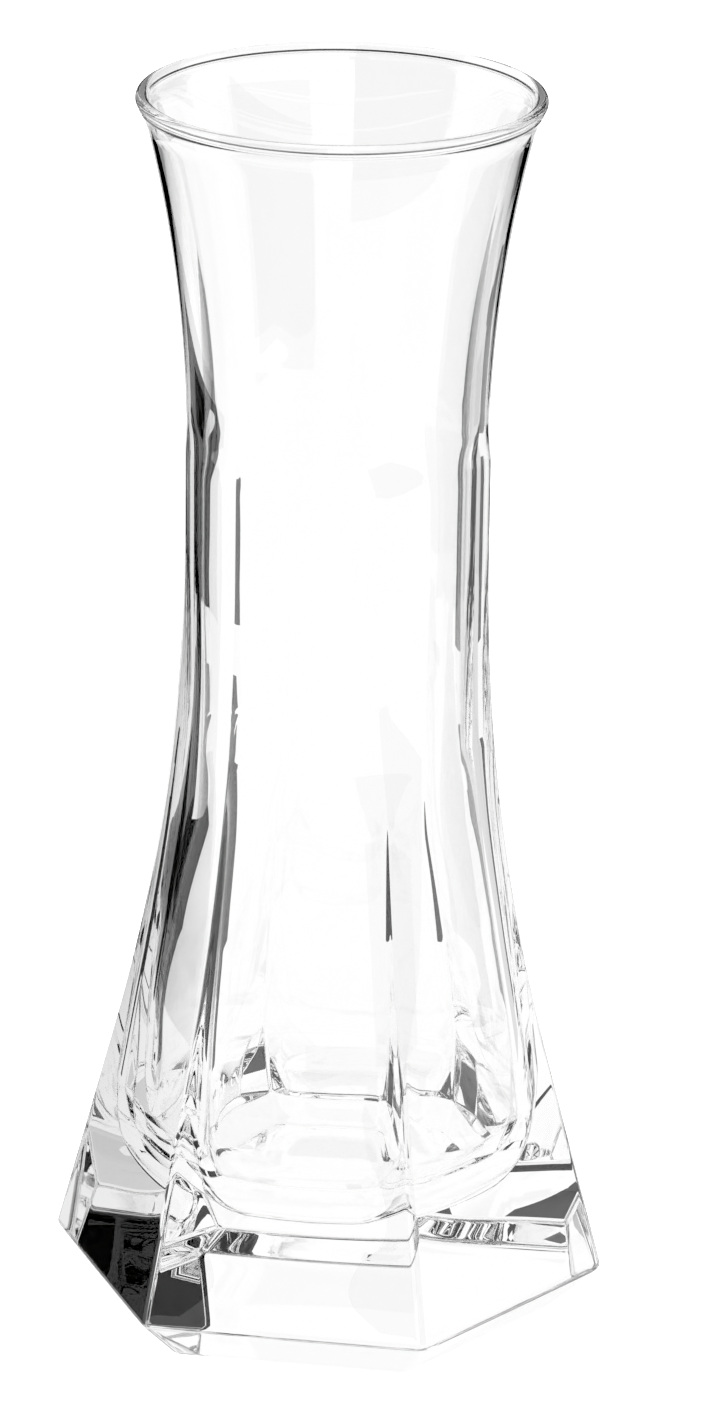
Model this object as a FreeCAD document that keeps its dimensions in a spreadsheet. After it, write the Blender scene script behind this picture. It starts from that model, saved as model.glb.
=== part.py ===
import FreeCAD, Part
import math
import os
import Sketcher

# Glass bud vase, millimetres, +Z up, origin at the centre of the resting face.
# One press-moulded piece of clear glass: a bevelled hexagonal foot, six facets
# that taper up and fade into a round waist, a flared mouth with a fire-polished
# rim bead, and a cavity that is hexagonal low down and round in the neck.
# One ridge of the hexagon points along +X, so one facet faces -Y.

SIZES = [
    ("total_height", 190.0),
    ("girdle_height", 7.0),          # widest level, at the top of the bevel
    ("rest_corner", 35.2),           # corner radius of the hexagon that rests
    ("taper_angle", 15.2),           # lower ridge line, degrees from vertical
    ("ridge_sweep", 300.0),          # arc that bends the ridge line to the waist
    ("waist_height", 119.5),
    ("ridge_waist", 23.1),           # ridge radius at the waist
    ("facet_top", 140.0),            # the ridges are gone above this level
    ("facet_full", 15.0),            # the facets are flat below this level
    ("foot_bow", 0.02),              # bow of a facet: 0 dead flat, 1 round
    ("bow_power", 1.5),              # how early the facets start to bow out
    ("neck_radius", 22.5),
    ("neck_height", 135.5),
    ("throat_arc", 205.0),
    ("throat_inner_arc", 173.0),
    ("neck_wall", 2.7),
    ("lip_height", 184.0),
    ("lip_rise", 4.0),
    ("lip_arc", 14.0),
    ("lip_inner_arc", 12.5),
    ("rim_radius", 30.4),
    ("bead_radius", 1.0),
    ("floor_height", 17.7),
    ("bowl_round", 14.3),            # rounding between floor and cavity wall
]

# Cavity levels above the bowl: height, corner radius, distance to a flat.
CAVITY_LEVELS = [
    (32.0, 28.0, 24.8),
    (45.0, 26.6, 23.6),
    (60.0, 24.2, 21.8),
    (80.0, 21.3, 19.9),
    (100.0, 19.8, 19.0),
    (120.0, 19.3, 19.0),
]

FACETS = 6
FLANK_STEPS = 9
BOWL_STEPS = 6
COS30 = math.cos(math.radians(30))

doc = FreeCAD.newDocument("glass_bud_vase")
sheet = doc.addObject("Spreadsheet::Sheet", "Sizes")


rows = list(SIZES)
for number, (height, corner, flat) in enumerate(CAVITY_LEVELS, start=1):
    rows.append((f"cavity_height_{number}", height))
    rows.append((f"cavity_corner_{number}", corner))
    rows.append((f"cavity_flat_{number}", flat))
for row, (alias, value) in enumerate(rows, start=1):
    sheet.set(f"A{row}", alias)
    sheet.set(f"B{row}", str(value))
    sheet.setAlias(f"B{row}", alias)
doc.recompute()

body = doc.addObject("PartDesign::Body", "vase_body")
body.Label = "vase_body"


def origin_plane(role):
    """One of the body's own origin planes."""
    return next(item for item in body.Origin.OriginFeatures if item.Role == role)


def flat_sketch(name, role):
    """An empty sketch on one of the body's origin planes."""
    sketch = body.newObject("Sketcher::SketchObject", name)
    sketch.AttachmentSupport = [(origin_plane(role), "")]
    sketch.MapMode = "FlatFace"
    return sketch


def name_constraint(sketch, constraint, name, expression):
    """Add a constraint, name it and bind it to the sheet."""
    index = sketch.addConstraint(constraint)
    sketch.renameConstraint(index, name)
    sketch.setExpression(f"Constraints.{name}", expression)


def hexagon_section(name, height, corner, flat):
    """A six-arc section: ridges at corner radius, facet middles at flat.

    height, corner and flat are expressions. An arc that bows out to the corner
    radius makes a round section, and a nearly straight one makes a hexagon.
    """
    sketch = flat_sketch(name, "XY_Plane")
    sketch.setExpression("AttachmentOffset.Base.z", height)
    rough_corner = 30.0
    rough_flat = 28.0
    for facet in range(FACETS):
        start, middle, end = (math.radians(60 * facet + turn) for turn in (0, 30, 60))
        sketch.addGeometry(Part.Arc(
            FreeCAD.Vector(rough_corner * math.cos(start), rough_corner * math.sin(start), 0),
            FreeCAD.Vector(rough_flat * math.cos(middle), rough_flat * math.sin(middle), 0),
            FreeCAD.Vector(rough_corner * math.cos(end), rough_corner * math.sin(end), 0)), False)
    first, last, origin, x_axis = 1, 2, -1, -1
    for facet in range(FACETS):
        sketch.addConstraint(Sketcher.Constraint("Coincident", facet, last, (facet + 1) % FACETS, first))
    sketch.addConstraint(Sketcher.Constraint("PointOnObject", 0, first, x_axis))
    for facet in range(1, FACETS):
        sketch.addConstraint(Sketcher.Constraint("Equal", 0, facet))
    # opposite ridges mirror each other through the axis, and ridges 1 and 5 across X
    for facet in range(3):
        sketch.addConstraint(Sketcher.Constraint("Symmetric", facet, first, facet + 3, first, origin, 1))
    sketch.addConstraint(Sketcher.Constraint("Symmetric", 1, first, 5, first, x_axis))
    name_constraint(sketch, Sketcher.Constraint("DistanceX", origin, 1, 0, first, rough_corner),
                    "corner", corner)
    name_constraint(sketch, Sketcher.Constraint("DistanceX", origin, 1, 1, first, rough_corner / 2),
                    "next_corner_x", f"({corner}) / 2")
    name_constraint(sketch, Sketcher.Constraint("DistanceY", origin, 1, 1, first, rough_corner * COS30),
                    "next_corner_y", f"({corner}) * sqrt(3) / 2")
    rise = f"(({flat}) - ({corner}) * sqrt(3) / 2)"
    name_constraint(sketch, Sketcher.Constraint("Radius", 0, sketch.Geometry[0].Radius),
                    "bow_radius", f"(({corner}) ^ 2 / 4 + {rise} ^ 2) / (2 * {rise})")
    return sketch


def loft(kind, name, sections):
    """An additive or subtractive loft through the sections, in order."""
    feature = body.newObject(f"PartDesign::{kind}", name)
    feature.Profile = sections[0]
    feature.Sections = [(section, [""]) for section in sections[1:]]
    feature.Ruled = False
    doc.recompute()
    return feature


# Ridge line: straight taper, one wide arc to the waist, then down to the round neck.
SWEEP_DROP = "(Sizes.ridge_sweep * sin(Sizes.taper_angle * 1 deg))"
SWEEP_OUT = "(Sizes.ridge_waist + Sizes.ridge_sweep * (1 - cos(Sizes.taper_angle * 1 deg)))"


def neck_radius_at(height):
    """Outer radius of the round neck."""
    above = f"max(0; ({height}) - Sizes.neck_height)"
    return f"(Sizes.neck_radius + Sizes.throat_arc - sqrt(Sizes.throat_arc ^ 2 - ({above}) ^ 2))"


def corner_at(height):
    """Ridge radius of the flank at a height, from the girdle to the facet top."""
    below = f"(Sizes.waist_height - ({height}))"
    line = f"{SWEEP_OUT} + ({below} - {SWEEP_DROP}) * tan(Sizes.taper_angle * 1 deg)"
    arc = f"Sizes.ridge_waist + Sizes.ridge_sweep - sqrt(Sizes.ridge_sweep ^ 2 - {below} ^ 2)"
    fade = f"((Sizes.facet_top - ({height})) / (Sizes.facet_top - Sizes.waist_height))"
    over = f"(Sizes.ridge_waist - Sizes.neck_radius) * {fade} ^ 2 * (3 - 2 * {fade})"
    upper = f"{neck_radius_at(height)} + {over}"
    return f"({below} > {SWEEP_DROP} ? {line} : ({below} > 0 ? {arc} : {upper}))"


def flat_at(height):
    """Distance from the axis to the middle of a facet at a height."""
    left = f"(Sizes.facet_top - ({height})) / (Sizes.facet_top - Sizes.facet_full)"
    bow = f"max(Sizes.foot_bow; 1 - min(1; {left}) ^ Sizes.bow_power)"
    half = "sqrt(3) / 2"
    return f"({corner_at(height)} * ({half} + (1 - {half}) * {bow}))"


# Foot: the bevel between the resting hexagon and the girdle.
girdle = corner_at("Sizes.girdle_height")
foot_shape = f"(sqrt(3) / 2 + (1 - sqrt(3) / 2) * Sizes.foot_bow)"
foot_sections = [
    hexagon_section("rest_section", "0", "Sizes.rest_corner", f"Sizes.rest_corner * {foot_shape}"),
    hexagon_section("girdle_section", "Sizes.girdle_height", girdle, f"{girdle} * {foot_shape}"),
]
loft("AdditiveLoft", "foot", foot_sections)

# Flank: six facets from the girdle up to where they melt into the round neck.
flank_sections = []
for step in range(FLANK_STEPS + 1):
    rise = f"(Sizes.girdle_height + (Sizes.facet_top - Sizes.girdle_height) * {step} / {FLANK_STEPS})"
    flank_sections.append(hexagon_section(f"flank_section_{step}", rise, corner_at(rise), flat_at(rise)))
loft("AdditiveLoft", "flank", flank_sections)


# Neck and mouth: a thin wall turned about Z, its top edge buried in the rim bead.
FIRST, LAST, CENTRE, ORIGIN = 1, 2, 3, -1
size = {alias: float(sheet.get(alias)) for alias, _ in SIZES}
neck = flat_sketch("neck_section", "XZ_Plane")
lip_top = size["lip_height"] + size["lip_rise"]
bead_centre = FreeCAD.Vector(size["rim_radius"] - size["bead_radius"],
                             size["total_height"] - size["bead_radius"], 0)


def hollow_arc(centre_x, centre_y, radius, low, high):
    """An arc on the axis side of its circle; its first point is the higher one."""
    circle = Part.Circle(FreeCAD.Vector(centre_x, centre_y, 0), FreeCAD.Vector(0, 0, 1), radius)
    lower = math.pi - math.asin((low - centre_y) / radius)
    upper = math.pi - math.asin((high - centre_y) / radius)
    return neck.addGeometry(Part.ArcOfCircle(circle, upper, lower), False)


def wall_side(side, neck_radius, throat_arc, lip_arc):
    """Throat arc and lip arc of one side of the wall, tangent at the lip height.

    The last three arguments are expressions of the sheet.
    """
    radius = float(sheet.evalExpression(neck_radius))
    throat = float(sheet.evalExpression(throat_arc))
    lip = float(sheet.evalExpression(lip_arc))
    lean = (size["lip_height"] - size["neck_height"]) / throat
    upright = math.sqrt(1 - lean ** 2)
    centre_x = radius + throat
    joint_x = centre_x - throat * upright
    throat_curve = hollow_arc(centre_x, size["neck_height"], throat,
                              size["facet_top"], size["lip_height"])
    lip_curve = hollow_arc(joint_x + lip * upright, size["lip_height"] - lip * lean, lip,
                           size["lip_height"], lip_top)
    neck.addConstraint(Sketcher.Constraint("Tangent", throat_curve, FIRST, lip_curve, LAST))
    for name, kind, geometry, point, value, text in (
            ("throat_radius", "Radius", throat_curve, None, throat, throat_arc),
            ("lip_radius", "Radius", lip_curve, None, lip, lip_arc),
            ("centre_x", "DistanceX", throat_curve, CENTRE, centre_x, f"{neck_radius} + {throat_arc}"),
            ("centre_y", "DistanceY", throat_curve, CENTRE, size["neck_height"], "Sizes.neck_height"),
            ("joint_y", "DistanceY", throat_curve, FIRST, size["lip_height"], "Sizes.lip_height"),
            ("top_y", "DistanceY", lip_curve, FIRST, lip_top, "Sizes.lip_height + Sizes.lip_rise")):
        if point is None:
            constraint = Sketcher.Constraint(kind, geometry, value)
        else:
            constraint = Sketcher.Constraint(kind, ORIGIN, 1, geometry, point, value)
        name_constraint(neck, constraint, f"{side}_{name}", text)
    return throat_curve, lip_curve


outer_throat, outer_lip = wall_side("outer", "Sizes.neck_radius", "Sizes.throat_arc", "Sizes.lip_arc")
inner_throat, inner_lip = wall_side("inner", "(Sizes.neck_radius - Sizes.neck_wall)",
                                    "Sizes.throat_inner_arc", "Sizes.lip_inner_arc")
outer_top = neck.addGeometry(Part.LineSegment(neck.getPoint(outer_lip, FIRST), bead_centre), False)
inner_top = neck.addGeometry(Part.LineSegment(bead_centre, neck.getPoint(inner_lip, FIRST)), False)
bottom = neck.addGeometry(Part.LineSegment(neck.getPoint(inner_throat, LAST),
                                           neck.getPoint(outer_throat, LAST)), False)
for joint in (
        (outer_lip, FIRST, outer_top, FIRST),
        (outer_top, LAST, inner_top, FIRST),
        (inner_top, LAST, inner_lip, FIRST),
        (inner_throat, LAST, bottom, FIRST),
        (bottom, LAST, outer_throat, LAST)):
    neck.addConstraint(Sketcher.Constraint("Coincident", *joint))
neck.addConstraint(Sketcher.Constraint("Horizontal", bottom))
name_constraint(neck, Sketcher.Constraint("DistanceY", ORIGIN, 1, bottom, LAST, size["facet_top"]),
                "bottom_y", "Sizes.facet_top")
name_constraint(neck, Sketcher.Constraint("DistanceX", ORIGIN, 1, outer_top, LAST, bead_centre.x),
                "bead_x", "Sizes.rim_radius - Sizes.bead_radius")
name_constraint(neck, Sketcher.Constraint("DistanceY", ORIGIN, 1, outer_top, LAST, bead_centre.y),
                "bead_y", "Sizes.total_height - Sizes.bead_radius")

bead = flat_sketch("bead_section", "XZ_Plane")
bead.addGeometry(Part.Circle(bead_centre, FreeCAD.Vector(0, 0, 1), size["bead_radius"]), False)
name_constraint(bead, Sketcher.Constraint("Radius", 0, size["bead_radius"]),
                "bead_radius", "Sizes.bead_radius")
name_constraint(bead, Sketcher.Constraint("DistanceX", ORIGIN, 1, 0, CENTRE, bead_centre.x),
                "bead_x", "Sizes.rim_radius - Sizes.bead_radius")
name_constraint(bead, Sketcher.Constraint("DistanceY", ORIGIN, 1, 0, CENTRE, bead_centre.y),
                "bead_y", "Sizes.total_height - Sizes.bead_radius")
doc.recompute()


def turn(name, sketch):
    """Turn a sketch a full circle about Z."""
    feature = body.newObject("PartDesign::Revolution", name)
    feature.Profile = sketch
    feature.ReferenceAxis = (sketch, ["V_Axis"])
    feature.Angle = 360
    doc.recompute()
    return feature


turn("neck_wall", neck)
turn("rim_bead", bead)

# Cavity: a hexagonal well that rounds off towards the neck, and the rounding of
# its floor, where every section steps in along a quarter circle.
NECK_INSIDE = ("(Sizes.neck_radius - Sizes.neck_wall + Sizes.throat_inner_arc"
               " - sqrt(Sizes.throat_inner_arc ^ 2 - (Sizes.facet_top - Sizes.neck_height) ^ 2))")
well_sections = []
for number in range(1, len(CAVITY_LEVELS) + 1):
    well_sections.append(hexagon_section(
        f"well_section_{number}", f"Sizes.cavity_height_{number}",
        f"Sizes.cavity_corner_{number}", f"Sizes.cavity_flat_{number}"))
well_sections.append(hexagon_section("well_section_top", "Sizes.facet_top", NECK_INSIDE, NECK_INSIDE))
loft("SubtractiveLoft", "well", well_sections)

bowl_sections = []
for step in range(BOWL_STEPS + 1):
    turn_angle = f"{step * 90 / BOWL_STEPS} deg"
    drop = f"Sizes.floor_height + Sizes.bowl_round * (1 - cos({turn_angle}))"
    shrink = f"(1 - Sizes.bowl_round * (1 - sin({turn_angle})) / Sizes.cavity_flat_1)"
    bowl_sections.append(hexagon_section(
        f"bowl_section_{step}", drop,
        f"Sizes.cavity_corner_1 * {shrink}", f"Sizes.cavity_flat_1 * {shrink}"))
loft("SubtractiveLoft", "bowl", bowl_sections)

# Every object has to be sound before the part is written.
doc.recompute()
for item in doc.Objects:
    if "Invalid" in item.State or "Error" in item.State:
        raise RuntimeError(f"{item.Name} failed: {item.State}")
if body.Shape.isNull() or not body.Shape.isValid() or len(body.Shape.Solids) != 1:
    raise RuntimeError(f"{body.Label} is not one sound solid")

os.makedirs("parts", exist_ok=True)
body.Shape.exportStep(f"parts/{body.Label}.step")
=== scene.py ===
import math

import bpy
import numpy as np
from mathutils import Matrix, Vector


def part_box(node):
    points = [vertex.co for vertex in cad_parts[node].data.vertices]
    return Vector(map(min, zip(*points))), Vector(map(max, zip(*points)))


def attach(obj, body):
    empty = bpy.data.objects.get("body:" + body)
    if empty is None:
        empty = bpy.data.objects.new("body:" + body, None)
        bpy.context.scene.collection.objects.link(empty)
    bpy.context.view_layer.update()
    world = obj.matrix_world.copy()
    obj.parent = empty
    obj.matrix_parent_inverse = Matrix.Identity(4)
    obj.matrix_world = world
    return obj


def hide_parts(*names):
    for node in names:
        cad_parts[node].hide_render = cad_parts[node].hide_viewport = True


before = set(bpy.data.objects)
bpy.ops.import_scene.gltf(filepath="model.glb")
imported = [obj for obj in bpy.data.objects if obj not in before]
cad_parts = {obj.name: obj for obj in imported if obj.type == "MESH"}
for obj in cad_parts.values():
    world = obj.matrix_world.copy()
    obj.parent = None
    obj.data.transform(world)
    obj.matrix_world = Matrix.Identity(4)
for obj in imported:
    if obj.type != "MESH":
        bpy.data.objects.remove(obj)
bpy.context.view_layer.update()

MM = 0.001
scene = bpy.context.scene

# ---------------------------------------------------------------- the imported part
NODE = "vase_body"
low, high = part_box(NODE)
TOTAL_HEIGHT = (high.z - low.z) / MM

# ---------------------------------------------------------------- the vase's own sizes, in mm
# Outside: a hexagonal foot, facets that fade into a round waist, a flared neck, a rolled rim.
GIRDLE_HEIGHT = 7.0         # the edge between the foot's bevel and the facets
REST_CORNER = 35.2          # axis to corner of the face that it stands on
TAPER = math.radians(15.2)  # lean of the six ridges above the foot
RIDGE_SWEEP = 300.0         # arc that turns the leaning ridges upright
WAIST_HEIGHT = 119.5
RIDGE_WAIST = 23.1
FACET_TOP = 141.0           # the facets are gone here
NECK_RADIUS = 22.5
NECK_HEIGHT = 135.5         # the flare starts here
THROAT_ARC = 205.0
LIP_HEIGHT = 184.0
LIP_ARC = 14.0
RIM_RADIUS = 30.35
BEAD_RADIUS = 0.95
RIDGE_END = 134.0           # the ridges stay proud up to here, then run out by the facet top
# How much of a facet's full bow there is at a height: 0 is dead flat, 1 is round.
BOW = ((7.0, 0.02), (20.0, 0.05), (35.0, 0.2), (53.0, 0.42), (70.0, 0.58), (85.0, 0.68),
       (110.0, 0.78), (134.0, 0.81), (141.0, 1.0))
# Inside: a six-sided well with a rounded bowl, then a round neck.
NECK_INSIDE = 19.8
THROAT_INSIDE = 173.0
FLOOR_HEIGHT = 17.7
BOWL_ROUND = 14.3
CAVITY_TOP = 187.8          # the bead takes over from the inside wall here
CAVITY_CORNER = ((32.0, 28.0), (45.0, 26.6), (60.0, 24.2), (80.0, 21.3), (100.0, 20.0),
                 (119.0, 19.75), (135.5, 19.8))
CAVITY_BOW = ((20.0, 0.35), (40.0, 0.4), (60.0, 0.5), (80.0, 0.6), (100.0, 0.85),
              (120.0, 1.0), (140.0, 1.0))
CAVITY_EDGE = 2.5
EDGE_FOOT = 1.1             # roundness of the ridges at the foot and, from EDGE_FINE up, at the top
EDGE_TOP = 0.12
EDGE_FINE = 110.0
# Soft edges, as (height whose outline is used, how far that is pulled in, height it is put at).
REST_EDGE = ((0.0, 0.5, 0.0), (0.05, 0.2, 0.03), (0.2, 0.05, 0.16))
GIRDLE_EDGE = ((-0.3, 0.03, -0.32), (0.0, 0.2, 0.0), (0.4, 0.03, 0.42))  # heights from the girdle

COS30 = math.cos(math.pi / 6)
SIXTH = math.pi / 3


def spline(table, z):
    """A smooth curve through (height, value) pairs; it never overshoots them."""
    xs = np.array([p[0] for p in table])
    ys = np.array([p[1] for p in table])
    z = np.clip(np.asarray(z, float), xs[0], xs[-1])
    rises = np.diff(ys) / np.diff(xs)
    slopes = np.zeros(len(xs))
    inner = rises[:-1] * rises[1:] > 0
    slopes[1:-1][inner] = (2 * rises[:-1] * rises[1:])[inner] / (rises[:-1] + rises[1:])[inner]
    slopes[0], slopes[-1] = rises[0], rises[-1]
    i = np.clip(np.searchsorted(xs, z) - 1, 0, len(xs) - 2)
    h = xs[i + 1] - xs[i]
    t = (z - xs[i]) / h
    return ((1 + 2 * t) * (1 - t) ** 2 * ys[i] + t * (1 - t) ** 2 * h * slopes[i]
            + t * t * (3 - 2 * t) * ys[i + 1] + t * t * (t - 1) * h * slopes[i + 1])


def outer_round(z):
    """Outer radius of the round neck and the flare, up to the bead."""
    z = np.asarray(z, float)
    above = np.clip(z - NECK_HEIGHT, 0, None)
    throat = NECK_RADIUS + THROAT_ARC - np.sqrt(THROAT_ARC ** 2 - above ** 2)
    lean = (LIP_HEIGHT - NECK_HEIGHT) / THROAT_ARC
    start = NECK_RADIUS + THROAT_ARC * (1 - math.sqrt(1 - lean ** 2))
    sine = np.clip(lean + (z - LIP_HEIGHT) / LIP_ARC, 0, 0.95)
    lip = start + LIP_ARC * (math.sqrt(1 - lean ** 2) - np.sqrt(1 - sine ** 2))
    return np.where(z > LIP_HEIGHT, lip, throat)


def corner(z):
    """Axis to ridge, from the girdle up."""
    z = float(z)
    drop = RIDGE_SWEEP * math.sin(TAPER)
    below = WAIST_HEIGHT - z
    if below > drop:
        out = RIDGE_WAIST + RIDGE_SWEEP * (1 - math.cos(TAPER))
        return out + (below - drop) * math.tan(TAPER)
    if below > 0:
        return RIDGE_WAIST + RIDGE_SWEEP - math.sqrt(RIDGE_SWEEP ** 2 - below ** 2)
    fade = min(1.0, max(0.0, (FACET_TOP - z) / (FACET_TOP - RIDGE_END)))
    return float(outer_round(z)) + (RIDGE_WAIST - NECK_RADIUS) * fade ** 2 * (3 - 2 * fade)


# ---------------------------------------------------------------- one hexagonal ring
def ring_angles(per_side=24, per_ridge=14, ridge_reach=4.0):
    """Angles round the vase in radians, crowded where the ridges are."""
    near = ridge_reach * np.linspace(0, 1, per_ridge, endpoint=False) ** 1.5
    side = np.linspace(ridge_reach, 60 - ridge_reach, per_side, endpoint=False)
    sixth = np.sort(np.concatenate([near, side, 60 - near[1:], [60 - ridge_reach]]))
    return np.radians(np.concatenate([sixth + 60 * k for k in range(6)]))


THETA = ring_angles()
FOLDED = np.minimum(np.mod(THETA, SIXTH), SIXTH - np.mod(THETA, SIXTH))


def hexagon(radius, bow, edge):
    """Distance from the axis at every ring angle, for a hexagon with bowed sides and rounded ridges."""
    half = radius / 2
    rise = max(radius * (1 - COS30) * bow, 1e-5)
    arc = (half * half + rise * rise) / (2 * rise)
    centre = radius * COS30 + rise - arc
    from_middle = math.pi / 6 - FOLDED
    side = (centre * np.cos(from_middle)
            + np.sqrt(arc * arc - (centre * np.sin(from_middle)) ** 2))
    kink = max(math.pi / 6 - 2 * math.atan(rise / half), 1e-4)
    round_off = min(edge / math.tan(kink), 0.9 * radius)
    reach = centre * COS30 + math.sqrt(max((arc - round_off) ** 2 - (centre / 2) ** 2, 0))
    tangent = math.atan2(reach / 2, reach * COS30 - centre)
    touch = math.pi / 6 - math.atan2(arc * math.sin(tangent), centre + arc * math.cos(tangent))
    across = np.clip(round_off ** 2 - (reach * np.sin(FOLDED)) ** 2, 0, None)
    ridge = reach * np.cos(FOLDED) + np.sqrt(across)
    return np.where(FOLDED < touch, ridge, side)


def flank(z):
    """The outside at a height, below the facet top."""
    if z >= FACET_TOP:
        return np.full(THETA.shape, float(outer_round(z)))
    below = min(1.0, max(0.0, (EDGE_FINE - z) / (EDGE_FINE - GIRDLE_HEIGHT)))
    edge = EDGE_TOP + (EDGE_FOOT - EDGE_TOP) * below
    if z < GIRDLE_HEIGHT:
        share = z / GIRDLE_HEIGHT
        radius = REST_CORNER + (corner(GIRDLE_HEIGHT) - REST_CORNER) * share
        return hexagon(radius, BOW[0][1], edge)
    return hexagon(corner(z), float(spline(BOW, z)), edge)


def cavity(z):
    """The inside wall at a height above the bowl."""
    if z >= NECK_HEIGHT:
        radius = NECK_INSIDE + THROAT_INSIDE - math.sqrt(THROAT_INSIDE ** 2 - (z - NECK_HEIGHT) ** 2)
        return np.full(THETA.shape, radius)
    return hexagon(float(spline(CAVITY_CORNER, z)), float(spline(CAVITY_BOW, z)), CAVITY_EDGE)


def vase_rings():
    """Rings of (distance from axis, height): from under the foot, over the rim, to the cavity floor."""
    rings = []

    def add(distance, height):
        rings.append((np.broadcast_to(distance, THETA.shape).copy(),
                      np.full(THETA.shape, float(height))))

    rest = flank(0.0)
    for share in (0.1, 0.3, 0.5, 0.7, 0.85, 0.95):
        add(rest * share, 0.0)
    for z, pulled, height in REST_EDGE:
        add(flank(z) - pulled, height)
    for z in np.linspace(0.6, GIRDLE_HEIGHT - 0.7, 7):
        add(flank(z), z)
    for z, pulled, height in GIRDLE_EDGE:
        add(flank(GIRDLE_HEIGHT + z) - pulled, GIRDLE_HEIGHT + height)
    for z in np.arange(GIRDLE_HEIGHT + 1, LIP_HEIGHT, 1.0):
        add(flank(z), z)
    bead_r, bead_z = RIM_RADIUS - BEAD_RADIUS, TOTAL_HEIGHT - BEAD_RADIUS
    for z in np.arange(LIP_HEIGHT, bead_z - BEAD_RADIUS - 0.1, 0.3):
        add(outer_round(z), z)
    for turn in np.radians(np.linspace(-60, 215, 25)):
        add(bead_r + BEAD_RADIUS * math.cos(turn), bead_z + BEAD_RADIUS * math.sin(turn))
    for z in np.arange(CAVITY_TOP, FLOOR_HEIGHT + BOWL_ROUND, -1.0):
        add(cavity(z), z)
    brim = cavity(FLOOR_HEIGHT + BOWL_ROUND)
    for turn in np.radians(np.linspace(0, 90, 16)):
        level = FLOOR_HEIGHT + BOWL_ROUND * (1 - math.sin(turn))
        add(brim * (1 - BOWL_ROUND * (1 - math.cos(turn)) / brim.min()), level)
    last = rings[-1][0]
    for share in (0.8, 0.55, 0.3, 0.1):
        add(last * share, FLOOR_HEIGHT)
    return rings


def vase_mesh():
    """One closed skin of glass, in metres."""
    rings = vase_rings()
    count = len(THETA)
    points = [np.stack([r * np.cos(THETA), r * np.sin(THETA), z], -1) for r, z in rings]
    points = np.concatenate(points + [[[0, 0, 0]], [[0, 0, FLOOR_HEIGHT]]]) * MM
    here = np.arange(count)
    following = (here + 1) % count
    faces = []
    for row in range(len(rings) - 1):
        a, b = row * count + here, row * count + following
        faces += np.stack([a, b, b + count, a + count], -1).tolist()
    under, inside = len(points) - 2, len(points) - 1
    last = (len(rings) - 1) * count
    faces += [[int(b), int(a), under] for a, b in zip(here, following)]
    faces += [[int(last + a), int(last + b), inside] for a, b in zip(here, following)]
    mesh = bpy.data.meshes.new("clear_glass_vase")
    mesh.from_pydata(points.tolist(), [], faces)
    mesh.shade_smooth()
    mesh.validate()
    return mesh


# ---------------------------------------------------------------- glass
GLASS_IOR = 1.52


def glass():
    material = bpy.data.materials.new("clear_pressed_glass")
    material.use_nodes = True
    nodes, links = material.node_tree.nodes, material.node_tree.links
    nodes.clear()
    out = nodes.new("ShaderNodeOutputMaterial")
    shader = nodes.new("ShaderNodeBsdfPrincipled")
    shader.inputs["Base Color"].default_value = (1, 1, 1, 1)
    shader.inputs["Transmission Weight"].default_value = 1.0
    shader.inputs["Roughness"].default_value = 0.0
    shader.inputs["IOR"].default_value = GLASS_IOR
    links.new(shader.outputs["BSDF"], out.inputs["Surface"])
    return material


vase = bpy.data.objects.new("glass_vase", vase_mesh())
scene.collection.objects.link(vase)
vase.data.materials.append(glass())
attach(vase, "root")
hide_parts(NODE)


# ---------------------------------------------------------------- floor, light and dark cards
def plain(name, grey, glow):
    """A matt surface that gives off a little light of its own, like a lit sheet of paper."""
    material = bpy.data.materials.new(name)
    material.use_nodes = True
    shader = material.node_tree.nodes["Principled BSDF"]
    shader.inputs["Base Color"].default_value = (grey, grey, grey, 1)
    shader.inputs["Roughness"].default_value = 0.9
    shader.inputs["Specular IOR Level"].default_value = 0.0
    shader.inputs["Emission Color"].default_value = (1, 1, 1, 1)
    shader.inputs["Emission Strength"].default_value = glow
    return material


def panel(name, points, material, faces=None):
    mesh = bpy.data.meshes.new(name)
    mesh.from_pydata(points, [], faces or [tuple(range(len(points)))])
    mesh.materials.append(material)
    made = bpy.data.objects.new(name, mesh)
    scene.collection.objects.link(made)
    return made


CAMERA_TURN = math.radians(10.16)  # the camera stands this far round from facing -Y
FLOOR_REACH = 3.0
FLOOR_LEVEL = -0.0003
FAR = 5.0                          # metres to the far cards
NEAR = 0.25                        # metres to the two low cards


def spot(away, distance, height):
    """A point by its angle from straight behind the vase, positive to the right, in degrees."""
    turn = CAMERA_TURN - math.radians(away)
    return (-math.sin(turn) * distance, math.cos(turn) * distance, height)


def curved_card(name, left, right, bottom, top, distance, glow, steps):
    """A card that shows only through and on the glass: angles in degrees, the rest in metres."""
    edges = np.linspace(left, right, steps + 1)
    points = [spot(away, distance, height) for away in edges for height in (bottom, top)]
    faces = [(2 * i, 2 * i + 2, 2 * i + 3, 2 * i + 1) for i in range(steps)]
    card = panel(name, points, plain(name, 0.0, glow), faces)
    card.visible_camera = False
    card.visible_diffuse = False
    card.visible_shadow = False


def far_card(name, left, right, bottom, top, glow=0.0):
    """A distant card between two angles round and two elevations, all in degrees."""
    low_edge, high_edge = (FAR * math.tan(math.radians(rise)) for rise in (bottom, top))
    curved_card(name, left, right, low_edge, high_edge, FAR, glow, 24)


def near_card(name, left, right, bottom, top, distance):
    """A black card close to the vase."""
    curved_card(name, left, right, bottom, top, distance, 0.0, 8)


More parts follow.
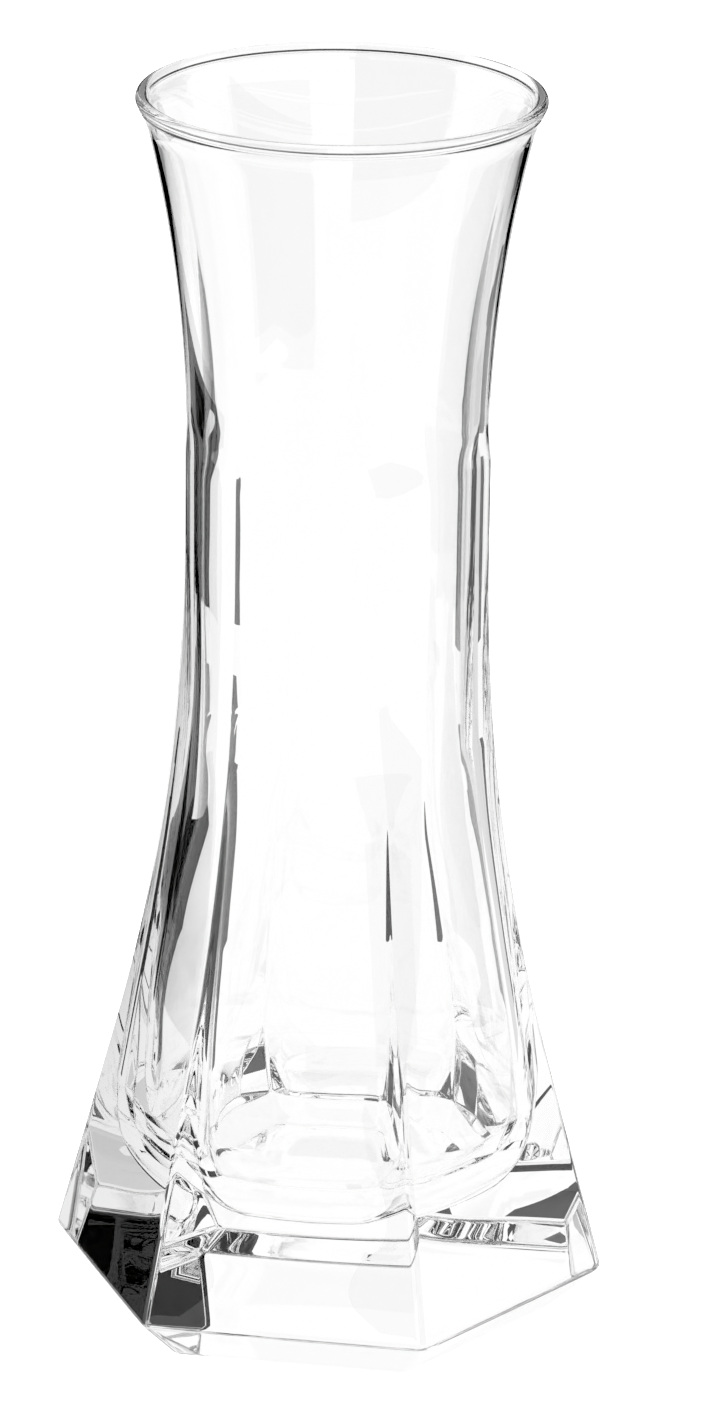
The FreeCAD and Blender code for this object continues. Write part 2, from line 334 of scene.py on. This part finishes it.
# Rays that leave the glass go past the floor to the white surround, where the cards stand.
floor = panel("pale_floor", [spot(a, FLOOR_REACH, FLOOR_LEVEL) for a in range(0, 360, 5)],
              plain("pale_floor", 0.9, 1.0))
floor.visible_transmission = False
floor.visible_glossy = False
far_card("dark_left", -75.0, -16.5, -20.0, -5.0)
far_card("low_right", 18.0, 30.0, -21.7, -5.0)
far_card("dark_right", 14.0, 70.0, 8.0, 55.0)
# Painted shadow: a grey glowing card, seen only through and on the glass, that stands in for the vase's
# soft shadow on the floor to the right.
far_card("painted_floor_shadow", 30.5, 60.0, -26.0, -5.0, 0.72)
far_card("room_left", -172.0, -105.0, 2.0, 45.0)
far_card("room_high", -175.0, -161.0, 42.0, 59.5)
far_card("room_right", 105.0, 160.0, -12.0, 15.0)
near_card("low_left", -47.0, -32.5, -0.11, 0.032, NEAR)
near_card("lower_left", -32.5, -26.5, -0.11, -0.004, NEAR)
near_card("small_dark", -35.0, -32.2, 0.094, 0.102, 0.18)
near_card("behind_rim", -24.0, 24.0, 0.174, 0.215, 0.2)

world = bpy.data.worlds.new("studio")
scene.world = world
world.use_nodes = True
world.node_tree.nodes["Background"].inputs["Color"].default_value = (1, 1, 1, 1)
world.node_tree.nodes["Background"].inputs["Strength"].default_value = 1.0

# ---------------------------------------------------------------- camera
CAMERA_DISTANCE = 1.14183
CAMERA_HEIGHT = 0.49567
CAMERA_YAW = 0.00260349
CAMERA_PITCH = 0.338011
CAMERA_ROLL = -0.0136995
LENS = 204.45
forward = Vector((math.sin(CAMERA_YAW), math.cos(CAMERA_YAW), 0))
right = Vector((math.cos(CAMERA_YAW), -math.sin(CAMERA_YAW), 0))
up = Vector((0, 0, 1))
forward, up = (forward * math.cos(CAMERA_PITCH) - up * math.sin(CAMERA_PITCH),
               up * math.cos(CAMERA_PITCH) + forward * math.sin(CAMERA_PITCH))
right, up = (right * math.cos(CAMERA_ROLL) - up * math.sin(CAMERA_ROLL),
             up * math.cos(CAMERA_ROLL) + right * math.sin(CAMERA_ROLL))
place = Matrix((
    (right.x, up.x, -forward.x, 0.0),
    (right.y, up.y, -forward.y, -CAMERA_DISTANCE),
    (right.z, up.z, -forward.z, CAMERA_HEIGHT),
    (0, 0, 0, 1)))
camera_data = bpy.data.cameras.new("camera")
camera = bpy.data.objects.new("camera", camera_data)
scene.collection.objects.link(camera)
camera.matrix_world = Matrix.Rotation(CAMERA_TURN, 4, "Z") @ place
camera_data.sensor_width = 36
camera_data.lens = LENS
camera_data.clip_start = 0.05
camera_data.clip_end = 10
scene.camera = camera

# Glass needs long light paths.
scene.cycles.max_bounces = 32
scene.cycles.transmission_bounces = 32
scene.cycles.glossy_bounces = 16
scene.cycles.use_denoising = True
scene.view_settings.view_transform = "Standard"
